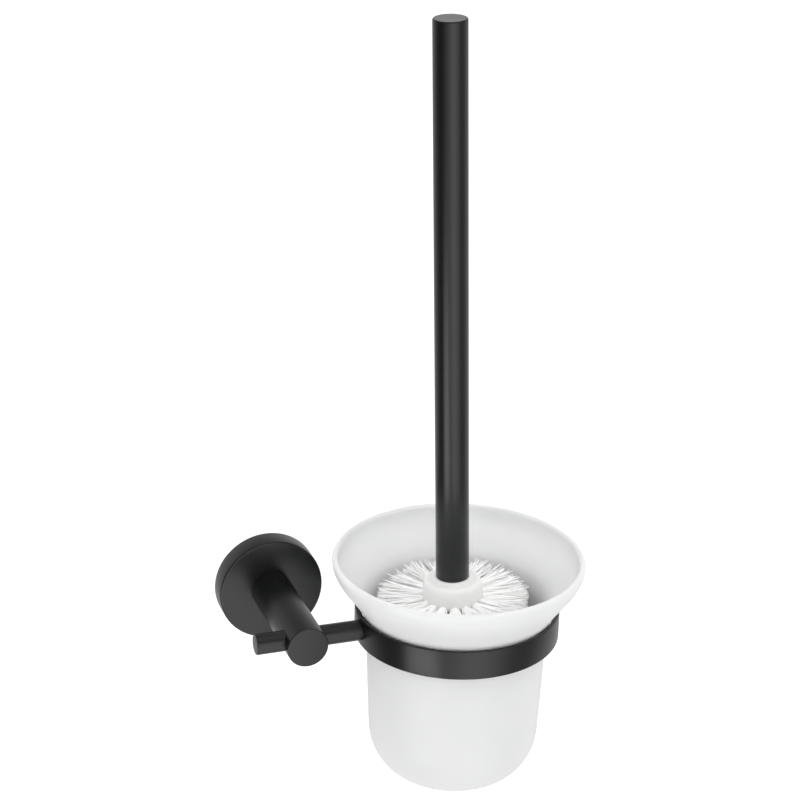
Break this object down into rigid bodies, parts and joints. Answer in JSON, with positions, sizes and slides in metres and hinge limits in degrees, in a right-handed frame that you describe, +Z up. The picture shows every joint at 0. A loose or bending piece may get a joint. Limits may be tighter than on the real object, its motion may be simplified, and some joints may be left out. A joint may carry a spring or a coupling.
{
  "type": "toilet brush holder",
  "caption": "Wall-mounted toilet brush holder: flange, post and cross rod carry a ring with a lift-out frosted glass cup and a long-handled brush.",
  "frame": {"origin": "centre of the wall face, on the wall plane behind the round flange", "axes": "+Y into the wall, +Z up, +X along the cross rod from the post towards the ring"},
  "size_m": [0.1649, 0.1228, 0.3784],
  "materials": {
    "black_coat": "matte black powder coat",
    "screw_steel": "plain turned steel",
    "bracket_zinc": "cast zinc, grey and dull",
    "frosted_glass": "satin-etched, lets light through but no image",
    "hub_plastic": "moulded white plastic, satin",
    "bristle_nylon": "white nylon filaments"
  },
  "bodies": {
    "holder": {"wall_bracket": "bracket_zinc", "flange_cover": "black_coat", "flange_grub_screw": "screw_steel", "post": "black_coat", "post_washer": "screw_steel", "post_screw": "screw_steel", "cross_rod": "black_coat", "rod_grub_screw": "screw_steel", "holder_ring": "black_coat", "ring_screw": "screw_steel"},
    "cup": {"glass_cup": "frosted_glass"},
    "brush": {"handle_tube": "black_coat", "handle_end_cap": "black_coat", "handle_insert": "bracket_zinc", "threaded_stud": "screw_steel", "brush_hub": "hub_plastic", "bristle_row_1": "bristle_nylon", "bristle_row_2": "bristle_nylon", "bristle_row_3": "bristle_nylon", "bristle_row_4": "bristle_nylon", "bristle_row_5": "bristle_nylon", "bristle_row_6": "bristle_nylon", "bristle_row_7": "bristle_nylon", "bristle_row_8": "bristle_nylon", "bristle_tip": "bristle_nylon"}
  },
  "joints": [
    {"name": "cup_lift", "type": "slide", "parent": "holder", "child": "cup", "axis": [0, 0, 1], "range_m": [0, 0.12]},
    {"name": "brush_lift", "type": "slide", "parent": "cup", "child": "brush", "axis": [0, 0, 1], "range_m": [0, 0.15]}
  ]
}
